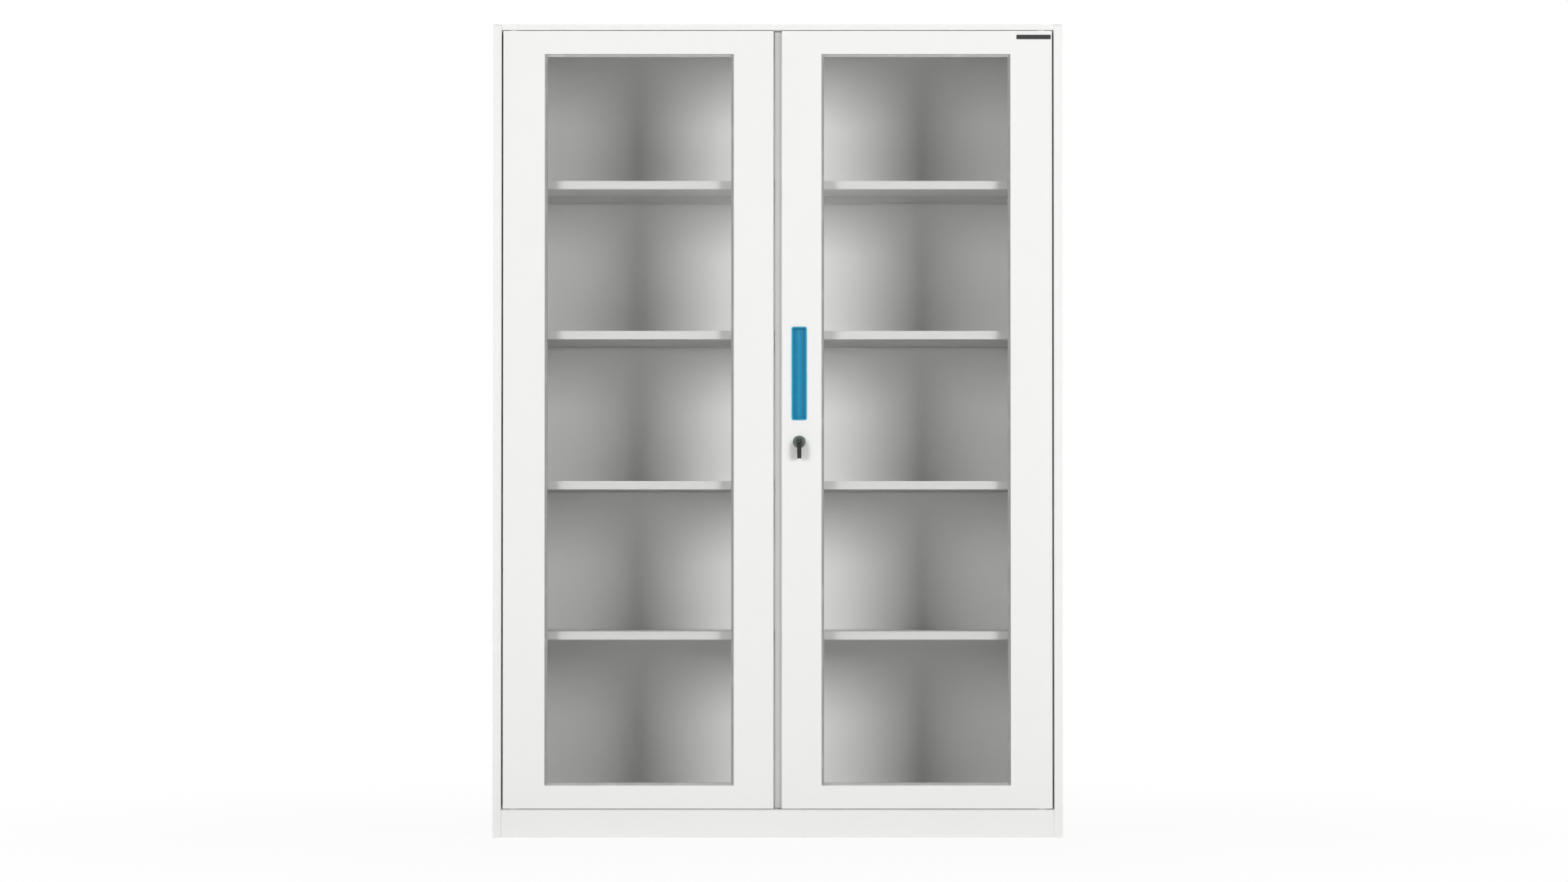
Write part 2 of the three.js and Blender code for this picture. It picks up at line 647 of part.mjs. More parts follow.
// A locking rod: flat bar with a yoke at the lock, whose level slot takes the crank pin
function lockingRod(rodSide, farEnd) {
  const centre = lockX + rodSide * rodOffset;
  const yokeZ = crankPlace(rodSide)[1];
  const y = [rodFrontY, rodBackY];
  const about = (middle, half) => [middle - half, middle + half];
  const yoke = box(about(centre, yokeHalfWidth + YOKE_WALL), y, about(yokeZ, yokeHalfHeight + YOKE_WALL));
  const bar = box(about(centre, ROD_WIDTH / 2), y, [yokeZ, farEnd]);
  const slotY = [rodFrontY - SHEET, rodBackY + SHEET];
  return yoke.add(bar).subtract(box(about(centre, yokeHalfWidth), slotY, about(yokeZ, yokeHalfHeight)));
}

function lockPlug() {
  const keywayHalf = BLADE_THICKNESS / 2 + FIT;
  const keywayRise = BLADE_HEIGHT / 2 + FIT;
  const keyway = box(
    [lockX - keywayHalf, lockX + keywayHalf],
    [plugFrontY - SHEET, keyTipY + FIT],
    [LOCK_HEIGHT - keywayRise, LOCK_HEIGHT + keywayRise],
  );
  return rod('y', PLUG_RADIUS, [plugFrontY, plugBackY], [lockX, LOCK_HEIGHT]).subtract(keyway);
}

function lockNut() {
  const nearY = frontY + SHEET + FIT;
  const farY = nearY + NUT_THICKNESS;
  const hexagon = rod('y', NUT_RADIUS, [nearY, farY], [lockX, LOCK_HEIGHT], 6);
  return hexagon.subtract(rod('y', BARREL_RADIUS + FIT, [nearY - SHEET, farY + SHEET], [lockX, LOCK_HEIGHT]));
}

function keyBlade() {
  const half = BLADE_THICKNESS / 2;
  const x = [lockX - half, lockX + half];
  const z = [LOCK_HEIGHT - BLADE_HEIGHT / 2, LOCK_HEIGHT + BLADE_HEIGHT / 2];
  const hinge = [keyHingeY, LOCK_HEIGHT];
  const eye = rod('x', KEY_EYE_RADIUS, x, hinge);
  const hole = rod('x', KEY_PIN_RADIUS + FIT, [x[0] - SHEET, x[1] + SHEET], hinge);
  return box(x, [keyHingeY, keyTipY], z).add(eye).subtract(hole);
}

// Plastic bow of the folding key: a fork round the blade's eye with its pin, hanging down from the hinge
function keyBow() {
  const x = [lockX - BOW_THICKNESS / 2, lockX + BOW_THICKNESS / 2];
  const outline = new THREE.Shape();
  outline.moveTo(BOW_HALF_WIDTH, -BOW_SHOULDER);
  outline.lineTo(BOW_NECK_RADIUS, 0);
  outline.absarc(0, 0, BOW_NECK_RADIUS, 0, Math.PI);
  outline.lineTo(-BOW_HALF_WIDTH, -BOW_SHOULDER);
  outline.lineTo(-BOW_HALF_WIDTH, BOW_HALF_WIDTH - BOW_LENGTH);
  outline.absarc(0, BOW_HALF_WIDTH - BOW_LENGTH, BOW_HALF_WIDTH, Math.PI, 2 * Math.PI);
  const geometry = new THREE.ExtrudeGeometry(outline, {
    depth: BOW_THICKNESS,
    bevelEnabled: false,
    curveSegments: 8,
  });
  geometry.rotateX(Math.PI / 2).rotateZ(Math.PI / 2).translate(x[0], keyHingeY, LOCK_HEIGHT);
  snapEnds(geometry, 'x', x[0], x[1]);
  const forkHalf = BLADE_THICKNESS / 2 + FIT;
  const forkFloor = LOCK_HEIGHT - KEY_EYE_RADIUS - FIT;
  const fork = box(
    [lockX - forkHalf, lockX + forkHalf],
    [keyHingeY - 2 * BOW_HALF_WIDTH, keyHingeY + 2 * BOW_HALF_WIDTH],
    [forkFloor, LOCK_HEIGHT + 2 * BOW_NECK_RADIUS],
  );
  const ringHeight = LOCK_HEIGHT - BOW_LENGTH + BOW_RING_EDGE + BOW_RING_HOLE;
  const ringHole = rod('x', BOW_RING_HOLE, [x[0] - SHEET, x[1] + SHEET], [keyHingeY, ringHeight]);
  const pin = rod('x', KEY_PIN_RADIUS, x, [keyHingeY, LOCK_HEIGHT]);
  return cut(solid(geometry), [fork, ringHole]).add(pin);
}

function addLock() {
  addPiece('lock_housing', lockHousing(), NICKEL);
  addPiece('lock_nut', lockNut(), ZINC);
  addPiece('lock_plug', lockPlug(), NICKEL);
  addPiece('lock_cam', lockCam(), ZINC);
  addPiece('upper_locking_rod', lockingRod(UPPER_ROD_SIDE, doorTop - ROD_END_INSET), ZINC);
  addPiece('lower_locking_rod', lockingRod(LOWER_ROD_SIDE, doorBottom + ROD_END_INSET), ZINC);
  addPiece('key_blade', keyBlade(), NICKEL);
  addPiece('key_bow', keyBow(), KEY_PLASTIC);
}

addSidePanels();
addTopPanel();
addFloorPanel();
addBaseRails();
addBackPanel();
addUprights();
addShelves();
addDoorFrames();
addClosingLip();
addCatches();
addPull();
addLock();

export default cabinet;
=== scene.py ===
"""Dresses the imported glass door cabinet: finishes, moulded and plated details, studio and camera."""

import logging
import math
from dataclasses import dataclass, field
from enum import Enum
from typing import Any, Callable, Iterable, Union

import bmesh
import bpy
from mathutils import Matrix, Vector


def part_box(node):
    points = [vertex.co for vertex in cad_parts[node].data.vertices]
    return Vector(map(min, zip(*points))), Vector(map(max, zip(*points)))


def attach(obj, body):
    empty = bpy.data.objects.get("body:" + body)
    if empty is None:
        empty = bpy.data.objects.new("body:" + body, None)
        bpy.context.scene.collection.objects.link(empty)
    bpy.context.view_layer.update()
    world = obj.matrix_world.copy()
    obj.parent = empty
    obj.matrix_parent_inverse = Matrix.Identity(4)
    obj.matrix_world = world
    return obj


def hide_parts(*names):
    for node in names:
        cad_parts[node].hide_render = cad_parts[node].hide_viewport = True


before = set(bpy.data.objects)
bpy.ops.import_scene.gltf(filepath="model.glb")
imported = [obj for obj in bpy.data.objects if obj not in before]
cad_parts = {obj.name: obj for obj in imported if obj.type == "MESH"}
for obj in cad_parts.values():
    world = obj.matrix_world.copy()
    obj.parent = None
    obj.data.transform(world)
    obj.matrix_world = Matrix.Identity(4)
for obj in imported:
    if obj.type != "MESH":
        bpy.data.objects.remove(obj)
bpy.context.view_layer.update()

LOG = logging.getLogger("cabinet")
MM = 0.001
PHOTO_WIDTH = 1920
Colour = tuple[float, float, float]
Input = Union["Signal", float, int, tuple, bpy.types.NodeSocket]


class Hand(Enum):
    """The two sides of the cabinet, as seen by someone facing the doors."""

    LEFT = -1
    RIGHT = 1

    @property
    def word(self) -> str:
        """The side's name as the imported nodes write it."""
        return self.name.lower()


class Facing(Enum):
    """The way a small fixing looks out of the surface it sits on."""

    BACK = (0.0, 1.0, 0.0)

    @property
    def turn(self) -> Matrix:
        """The turn that takes +Z to this direction."""
        return Vector((0, 0, 1)).rotation_difference(Vector(self.value)).to_matrix().to_4x4()


class Signal:
    """A shader socket that takes part in Python expressions and adds the Math nodes they need."""

    def __init__(self, tree: bpy.types.NodeTree, socket: bpy.types.NodeSocket) -> None:
        """Keeps the socket and the tree it belongs to."""
        self.tree = tree
        self.socket = socket

    def _math(self, operation: str, first: Input, second: Input) -> "Signal":
        """Adds one Math node.

        Args:
            operation: Blender's name of the operation.
            first: Left side of the expression.
            second: Right side of the expression.

        Returns:
            The node's value.
        """
        return node(self.tree, "ShaderNodeMath", {"operation": operation}, {0: first, 1: second})["Value"]

    def __add__(self, other: Input) -> "Signal":
        """Sum."""
        return self._math("ADD", self, other)

    __radd__ = __add__

    def __mul__(self, other: Input) -> "Signal":
        """Product."""
        return self._math("MULTIPLY", self, other)

    __rmul__ = __mul__

    def __sub__(self, other: Input) -> "Signal":
        """Difference."""
        return self._math("SUBTRACT", self, other)

    def __rsub__(self, other: Input) -> "Signal":
        """Difference with the signal on the right."""
        return self._math("SUBTRACT", other, self)

    def at_most(self, other: Input) -> "Signal":
        """The smaller of the two values."""
        return self._math("MINIMUM", self, other)

    def band(self, low: float, high: float) -> "Signal":
        """Rises smoothly from 0 at low to 1 at high.

        Args:
            low: Value that gives 0.
            high: Value that gives 1.

        Returns:
            The smooth step.
        """
        made = node(self.tree, "ShaderNodeMapRange", {"interpolation_type": "SMOOTHSTEP"},
                    {"Value": self, "From Min": low, "From Max": high})
        return made["Result"]


def node(tree: bpy.types.NodeTree, kind: str, settings: dict[str, Any] | None = None,
         sockets: dict[Union[str, int], Input] | None = None) -> "NodeOutputs":
    """Adds any node to a tree.

    Args:
        tree: The tree that takes the node.
        kind: Blender's type name.
        settings: Attributes that are set first.
        sockets: Values or links for its inputs, by name or number.

    Returns:
        The node's outputs, by name.
    """
    made = tree.nodes.new(kind)
    for key, value in (settings or {}).items():
        setattr(made, key, value)
    for key, value in (sockets or {}).items():
        target = made.inputs[key]
        source = value.socket if isinstance(value, Signal) else value
        if isinstance(source, bpy.types.NodeSocket):
            tree.links.new(source, target)
        elif isinstance(source, tuple) and len(source) == 3 and target.type == "RGBA":
            target.default_value = (*source, 1.0)
        else:
            target.default_value = source
    return NodeOutputs(tree, made)


@dataclass
class NodeOutputs:
    """Reads a node's outputs as signals."""

    tree: bpy.types.NodeTree
    made: bpy.types.Node

    def __getitem__(self, name: str) -> Signal:
        """The output of that name that is in use."""
        found = next(s for s in self.made.outputs if s.name == name and s.enabled)
        return Signal(self.tree, found)


class Recipe:
    """One material under construction, with the patterns that several finishes share."""

    def __init__(self, name: str) -> None:
        """Starts an empty material of that name."""
        self.material = bpy.data.materials.new(name)
        self.material.use_nodes = True
        self.tree = self.material.node_tree
        self.tree.nodes.clear()
        self.place = self.add("ShaderNodeTexCoord")["Object"]

    def add(self, kind: str, settings: dict[str, Any] | None = None,
            sockets: dict[Union[str, int], Input] | None = None) -> NodeOutputs:
        """Adds a node of that kind to this material."""
        return node(self.tree, kind, settings, sockets)

    def noise(self, scale: float, detail: float = 2.0, stretch: Colour = (1.0, 1.0, 1.0)) -> Signal:
        """Soft noise over the object's own coordinates.

        Args:
            scale: Waves in a metre.
            detail: Octaves.
            stretch: Scale along each axis.

        Returns:
            A value about 0.5.
        """
        where = self.add("ShaderNodeMapping", None, {"Vector": self.place, "Scale": stretch})["Vector"]
        return self.add("ShaderNodeTexNoise", None, {"Vector": where, "Scale": scale, "Detail": detail})["Fac"]

    def cells(self, scale: float) -> Signal:
        """Distance from the nearest of scattered points, scale of them in a metre."""
        return self.add("ShaderNodeTexVoronoi", None, {"Vector": self.place, "Scale": scale})["Distance"]

    def height(self) -> Signal:
        """Height above the floor, in metres."""
        return self.add("ShaderNodeSeparateXYZ", None, {0: self.place})["Z"]

    def mix(self, factor: Input, first: Input, second: Input) -> Signal:
        """Goes from the first colour to the second as the factor goes from 0 to 1."""
        made = self.tree.nodes.new("ShaderNodeMix")
        made.data_type = "RGBA"
        pairs = ((made.inputs[0], factor), (made.inputs[6], first), (made.inputs[7], second))
        for target, value in pairs:
            if isinstance(value, Signal):
                self.tree.links.new(value.socket, target)
            else:
                target.default_value = (*value, 1.0) if isinstance(value, tuple) else value
        return Signal(self.tree, made.outputs[2])

    def bump(self, height: Input, strength: float, distance: float) -> Signal:
        """A normal that follows a height.

        Args:
            height: The height signal.
            strength: How much of it shows.
            distance: Its depth in metres.

        Returns:
            The bent normal.
        """
        return self.add("ShaderNodeBump", None,
                        {"Height": height, "Strength": strength, "Distance": distance})["Normal"]

    def surface(self, sockets: dict[Union[str, int], Input]) -> bpy.types.Material:
        """Closes the material with one Principled surface.

        Args:
            sockets: Values and links of the surface.

        Returns:
            The finished material.
        """
        shader = self.add("ShaderNodeBsdfPrincipled", None, sockets)["BSDF"]
        self.add("ShaderNodeOutputMaterial", None, {"Surface": shader})
        return self.material


@dataclass(frozen=True)
class PowderCoat:
    """White powder coat on sheet steel: fine orange peel, faintly darker towards the bottom, and rubbed patches.
    """

    name: str = "white_powder_coat"
    colour: Colour = (0.868, 0.868, 0.859)
    soiled: Colour = (0.78, 0.775, 0.755)
    roughness: float = 0.42
    grain: float = 950.0

    def make(self) -> bpy.types.Material:
        """Builds the material."""
        r = Recipe(self.name)
        peel = r.noise(self.grain, 1.0)
        cloud = r.noise(3.2, 4.0)
        # 1 at the floor, fading to 0 by 16 cm up: the coat turns slightly darker towards the bottom
        low = 1 - r.height().band(0.01, 0.16)
        scuff = r.noise(38.0, 6.0, (1.0, 1.0, 3.0)).band(0.6, 0.78)
        darkening = (low * 0.25 + scuff * 0.10 + cloud.band(0.45, 0.75) * 0.08).at_most(0.5)
        gloss = self.roughness + (cloud - 0.5) * 0.10 + scuff * 0.10 + (peel - 0.5) * 0.05
        return r.surface({
            "Base Color": r.mix(darkening, self.colour, self.soiled),
            "Roughness": gloss,
            "Normal": r.bump(peel + r.noise(self.grain * 0.33, 1.0) * 0.6, 0.10, 0.00025),
            "Specular IOR Level": 0.42,
        })


@dataclass(frozen=True)
class PlatedSteel:
    """Plated steel: zinc or nickel, with faint crystals, streaks and rubbed spots."""

    name: str
    colour: Colour
    shade: Colour
    roughness: float
    crystal: float

    def make(self) -> bpy.types.Material:
        """Builds the material."""
        r = Recipe(self.name)
        spangle = r.cells(self.crystal).band(0.05, 0.75)
        streak = r.noise(260.0, 3.0, (1.0, 1.0, 0.12))
        worn = r.noise(90.0, 5.0).band(0.52, 0.72)
        return r.surface({
            "Base Color": r.mix(spangle * 0.5 + worn * 0.35, self.colour, self.shade),
            "Metallic": 1.0,
            "Roughness": self.roughness + streak * 0.12 + worn * 0.10,
            "Normal": r.bump(streak + spangle * 0.3, 0.08, 0.0002),
        })


@dataclass(frozen=True)
class FloatGlass:
    """Clear float glass: most light passes straight through and a little is mirrored."""

    name: str = "clear_float_glass"
    tint: Colour = (0.979, 0.981, 0.977)
    mirror: Colour = (0.93, 0.95, 0.945)

    def make(self) -> bpy.types.Material:
        """Builds the material."""
        r = Recipe(self.name)
        film = r.noise(7.0, 5.0).band(0.42, 0.8)
        ripple = r.bump(r.noise(2.2, 1.0), 0.015, 0.001)
        fresnel = r.add("ShaderNodeFresnel", None, {"IOR": 1.45, "Normal": ripple})["Fac"]
        clear = r.add("ShaderNodeBsdfTransparent", None, {"Color": self.tint})["BSDF"]
        sheen = r.add("ShaderNodeBsdfPrincipled", None, {
            "Base Color": self.mirror, "Metallic": 1.0, "Roughness": 0.015 + film * 0.05, "Normal": ripple,
        })["BSDF"]
        both = r.add("ShaderNodeMixShader", None, {0: fresnel * 0.6 + film * 0.004, 1: clear, 2: sheen})["Shader"]
        r.add("ShaderNodeOutputMaterial", None, {"Surface": both})
        return r.material


@dataclass(frozen=True)
class SealRubber:
    """Seal rubber, matt, with a dusty bloom."""

    name: str
    colour: Colour
    bloom: Colour

    def make(self) -> bpy.types.Material:
        """Builds the material."""
        r = Recipe(self.name)
        fine = r.noise(1400.0, 2.0)
        dust = r.noise(22.0, 4.0).band(0.45, 0.75)
        return r.surface({
            "Base Color": r.mix(dust * 0.6, self.colour, self.bloom),
            "Roughness": 0.66 + fine * 0.14,
            "Normal": r.bump(fine, 0.2, 0.0002),
            "Specular IOR Level": 0.3,
        })


@dataclass(frozen=True)
class MouldedPlastic:
    """Moulded plastic with a spark-eroded grain, and a paler rub where hands touch it."""

    name: str
    colour: Colour
    rubbed: Colour
    roughness: float
    grain: float = 1600.0
    coat: float = 0.0

    def make(self) -> bpy.types.Material:
        """Builds the material."""
        r = Recipe(self.name)
        pit = r.cells(self.grain)
        wear = r.noise(60.0, 5.0).band(0.5, 0.75)
        flow = r.noise(14.0, 2.0)
        return r.surface({
            "Base Color": r.mix(wear * 0.35 + (flow - 0.5) * 0.3, self.colour, self.rubbed),
            "Roughness": self.roughness + wear * 0.12 + (pit - 0.4) * 0.10,
            "Normal": r.bump(pit, 0.12, 0.00015),
            "Coat Weight": self.coat,
            "Specular IOR Level": 0.45,
        })


@dataclass(frozen=True)
class Finishes:
    """Every finish of the cabinet, made once."""

    paint: bpy.types.Material
    zinc: bpy.types.Material
    nickel: bpy.types.Material
    glass: bpy.types.Material
    gasket: bpy.types.Material
    dust_strip: bpy.types.Material
    shaded_paint: bpy.types.Material
    nylon: bpy.types.Material
    catch_plastic: bpy.types.Material
    pull_plastic: bpy.types.Material
    key_plastic: bpy.types.Material
    plate: bpy.types.Material

    @classmethod
    def mix_all(cls) -> "Finishes":
        """Builds the whole set."""
        return cls(
            paint=PowderCoat().make(),
            zinc=PlatedSteel("bright_zinc_plate", (0.66, 0.67, 0.68), (0.48, 0.49, 0.51), 0.26, 420.0).make(),
            # nickel darkened far below bright plate: partly the lock's own dark tone, partly painted dark
            # reflection on its face
            nickel=PlatedSteel("nickel_plate", (0.17, 0.20, 0.19), (0.10, 0.12, 0.115), 0.22, 900.0).make(),
            glass=FloatGlass().make(),
            gasket=SealRubber("grey_glazing_rubber", (0.42, 0.425, 0.415), (0.56, 0.56, 0.55)).make(),
            # near-black rubber for the strips and flaps in the hinge gaps: painted shade
            dust_strip=SealRubber("dark_dust_strip", (0.06, 0.06, 0.058), (0.10, 0.099, 0.095)).make(),
            # darker copy of the white coat for the closing lip: painted shade of its recess between the doors
            shaded_paint=PowderCoat("shaded_powder_coat", (0.62, 0.62, 0.61), (0.5, 0.497, 0.48)).make(),
            nylon=MouldedPlastic("natural_nylon", (0.78, 0.77, 0.71), (0.84, 0.83, 0.79), 0.45).make(),
            catch_plastic=MouldedPlastic("grey_catch_plastic", (0.60, 0.60, 0.58), (0.70, 0.70, 0.69), 0.5).make(),
            pull_plastic=MouldedPlastic("blue_pull_plastic", (0.008, 0.272, 0.45), (0.03, 0.34, 0.52), 0.36,
                                        1300.0, 0.15).make(),
            key_plastic=MouldedPlastic("black_key_plastic", (0.014, 0.012, 0.012), (0.05, 0.048, 0.048),
                                       0.42).make(),
            plate=PlatedSteel("grey_plate", (0.085, 0.088, 0.092), (0.05, 0.052, 0.055), 0.38, 1200.0).make(),
        )


class Bench:
    """The modelling bench: the few moves by which a piece is shaped by hand."""

    @staticmethod
    def clear() -> None:
        """Leaves edit mode and deselects everything."""
        if bpy.context.mode != "OBJECT":
            bpy.ops.object.mode_set(mode="OBJECT")
        bpy.ops.object.select_all(action="DESELECT")

    @staticmethod
    def open(piece: bpy.types.Object) -> None:
        """Selects one piece alone and opens it in edit mode."""
        Bench.clear()
        piece.select_set(True)
        bpy.context.view_layer.objects.active = piece
        bpy.ops.object.mode_set(mode="EDIT")

    @staticmethod
    def block(name: str, low: Vector, high: Vector) -> bpy.types.Object:
        """Adds a cube and brings it to a size and place, open in edit mode.

        Args:
            name: Name of the new piece.
            low: Its lowest corner.
            high: Its highest corner.

        Returns:
            The piece.
        """
        Bench.clear()
        bpy.ops.mesh.primitive_cube_add(size=1.0, location=(low + high) / 2)
        piece = bpy.context.object
        piece.name = piece.data.name = name
        piece.scale = high - low
        bpy.ops.object.transform_apply(location=True, rotation=True, scale=True)
        Bench.open(piece)
        return piece

    @staticmethod
    def disc(name: str, radius: float, depth: float, sides: int) -> bpy.types.Object:
        """Adds a short cylinder standing on the origin, open in edit mode.

        Args:
            name: Name of the new piece.
            radius: Its radius.
            depth: Its height along Z.
            sides: Number of its sides.

        Returns:
            The piece.
        """
        Bench.clear()
        bpy.ops.mesh.primitive_cylinder_add(vertices=sides, radius=radius, depth=depth, location=(0, 0, depth / 2))
        piece = bpy.context.object
        piece.name = piece.data.name = name
        bpy.ops.object.transform_apply(location=True, rotation=True, scale=True)
        Bench.open(piece)
        return piece

    @staticmethod
    def pick_faces(piece: bpy.types.Object, test: Callable[[Vector, Vector], bool]) -> None:
        """Selects the faces whose centre and normal pass a test, and nothing else.

        Args:
            piece: The piece that is open in edit mode.
            test: Takes a face's centre and normal.
        """
        bpy.ops.mesh.select_mode(type="FACE")
        bpy.ops.mesh.select_all(action="DESELECT")
        mesh = bmesh.from_edit_mesh(piece.data)
        for face in mesh.faces:
            face.select_set(test(face.calc_center_median(), face.normal))
        mesh.select_flush_mode()
        bmesh.update_edit_mesh(piece.data)

    @staticmethod
    def pick_edges(piece: bpy.types.Object, test: Callable[[Vector, Vector], bool]) -> None:
        """Selects the edges whose middle and direction pass a test, and nothing else.

        Args:
            piece: The piece that is open in edit mode.
            test: Takes an edge's middle and its unit direction.
        """
        bpy.ops.mesh.select_mode(type="EDGE")
        bpy.ops.mesh.select_all(action="DESELECT")
        mesh = bmesh.from_edit_mesh(piece.data)
        for edge in mesh.edges:
            first, second = (v.co for v in edge.verts)
            edge.select_set(test((first + second) / 2, (second - first).normalized()))
        mesh.select_flush_mode()
        bmesh.update_edit_mesh(piece.data)

    @staticmethod
    def round_edges(width: float, segments: int = 3) -> None:
        """Bevels the selected edges."""
        bpy.ops.mesh.bevel(offset=width, segments=segments, profile=0.5, affect="EDGES", clamp_overlap=True)

    @staticmethod
    def inset(width: float) -> None:
        """Insets the selected face."""
        bpy.ops.mesh.inset(thickness=width, depth=0.0, use_even_offset=True)

    @staticmethod
    def push(by: Vector) -> None:
        """Extrudes the selected faces along a vector."""
        bpy.ops.mesh.extrude_region_move(TRANSFORM_OT_translate={"value": tuple(by)})

    @staticmethod
    def close(piece: bpy.types.Object, softness: float, angle: float = 32.0) -> bpy.types.Object:
        """Ends the modelling: merges doubles, rounds the sharp edges and smooths the shading.

        Args:
            piece: The piece that is open in edit mode.
            softness: Radius of its remaining sharp edges.
            angle: Edges sharper than this, in degrees, are rounded.

        Returns:
            The piece, in object mode.
        """
        bpy.ops.mesh.select_all(action="SELECT")
        bpy.ops.mesh.remove_doubles(threshold=1e-6)
        bpy.ops.mesh.normals_make_consistent(inside=False)
        bpy.ops.object.mode_set(mode="OBJECT")
        soften = piece.modifiers.new("soft_edges", "BEVEL")
        soften.width = softness
        soften.segments = 3
        soften.limit_method = "ANGLE"
        soften.angle_limit = math.radians(angle)
        bpy.ops.object.modifier_apply(modifier=soften.name)
        bpy.ops.object.shade_smooth_by_angle(angle=math.radians(38.0))
        return piece


def mount(piece: bpy.types.Object, body: str, finish: bpy.types.Material) -> bpy.types.Object:
    """Gives a new piece its finish and its body, and reports it.

    Args:
        piece: The piece.
        body: The body it rides on.
        finish: Its material.

    Returns:
        The piece.
    """
    piece.data.materials.clear()
    piece.data.materials.append(finish)
    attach(piece, body)
    LOG.info("%s rides on %s", piece.name, body)
    return piece


def dress(name: str, finish: bpy.types.Material, fold: float) -> None:
    """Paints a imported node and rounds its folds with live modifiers, leaving its mesh as it is.

    Args:
        name: The node.
        finish: Its material.
        fold: Radius of its edges, in metres.
    """
    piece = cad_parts[name]
    piece.data.materials.clear()
    piece.data.materials.append(finish)
    weld = piece.modifiers.new("joined_corners", "WELD")
    weld.merge_threshold = 1e-6
    flat = piece.modifiers.new("flat_sheets", "DECIMATE")
    flat.decimate_type = "DISSOLVE"
    flat.angle_limit = math.radians(1.0)
    soften = piece.modifiers.new("folded_edges", "BEVEL")
    soften.width = fold
    soften.segments = 2
    soften.limit_method = "ANGLE"
    soften.angle_limit = math.radians(40.0)
    LOG.info("%s dressed in %s", name, finish.name)


@dataclass
class Rivet:
    """A blind rivet: low domed head with the hollow that its mandrel leaves."""

    radius: float = 3.2 * MM
    height: float = 1.15 * MM
    hollow: float = 1.1 * MM
    sides: int = 20
    edge: float = 0.08 * MM
    pattern: bpy.types.Mesh | None = field(default=None, init=False)

    def model(self) -> None:
        """Models the one head that all rivets are copied from."""
        piece = Bench.disc("rivet_pattern", self.radius, self.height, self.sides)
        Bench.pick_faces(piece, lambda c, n: n.z > 0.9)
        Bench.inset(self.radius * 0.42)
        Bench.inset(self.radius * 0.58 - self.hollow)
        Bench.push(Vector((0, 0, -self.height * 0.55)))
        Bench.pick_edges(piece, lambda m, d: abs(d.z) < 0.1 and m.z > self.height * 0.9
                         and math.hypot(m.x, m.y) > self.radius * 0.9)
        Bench.round_edges(self.height * 0.7, 4)
        Bench.close(piece, self.edge)
        self.pattern = piece.data
        bpy.data.objects.remove(piece)

    def set(self, name: str, place: Vector, facing: Facing) -> bpy.types.Object:
        """Puts a copy of the head on a surface.

        Args:
            name: Name of the copy.
            place: Point on the surface.
            facing: The way the head looks.

        Returns:
            The copy, with its own mesh.
        """
        mesh = self.pattern.copy()
        mesh.transform(Matrix.Translation(place) @ facing.turn)
        piece = bpy.data.objects.new(name, mesh)
        mesh.name = name
        bpy.context.scene.collection.objects.link(piece)
        return piece


@dataclass
class Carcass:
    """The folded sheet body: sides, top, floor, plinth, back, slotted uprights and the back's rivets."""

    finishes: Finishes
    rivet: Rivet
    fold: float = 0.42 * MM
    rivet_columns: int = 7
    rivet_edge: float = 50 * MM
    rows: tuple[tuple[str, float], ...] = (("foot", 30 * MM), ("head", 1737 * MM))

    def dress(self) -> None:
        """Paints the sheets."""
        sheets = ["left_side_panel", "right_side_panel", "top_panel", "floor_panel", "kick_plate",
                  "rear_base_rail", "back_panel"]
        sheets += [f"{hand.word}_{place}_upright" for hand in Hand for place in ("front", "rear")]
        for name in sheets:
            dress(name, self.finishes.paint, self.fold)

    def build(self) -> None:
        """Sets the rivets that hold the back panel to the top and to the rear rail."""
        low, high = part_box("back_panel")
        start, end = low.x + self.rivet_edge, high.x - self.rivet_edge
        for row, z in self.rows:
            for column in range(self.rivet_columns):
                x = start + (end - start) * column / (self.rivet_columns - 1)
                piece = self.rivet.set(f"back_rivet_{row}_{column + 1}", Vector((x, high.y, z)), Facing.BACK)
                mount(piece, "carcass", self.finishes.zinc)


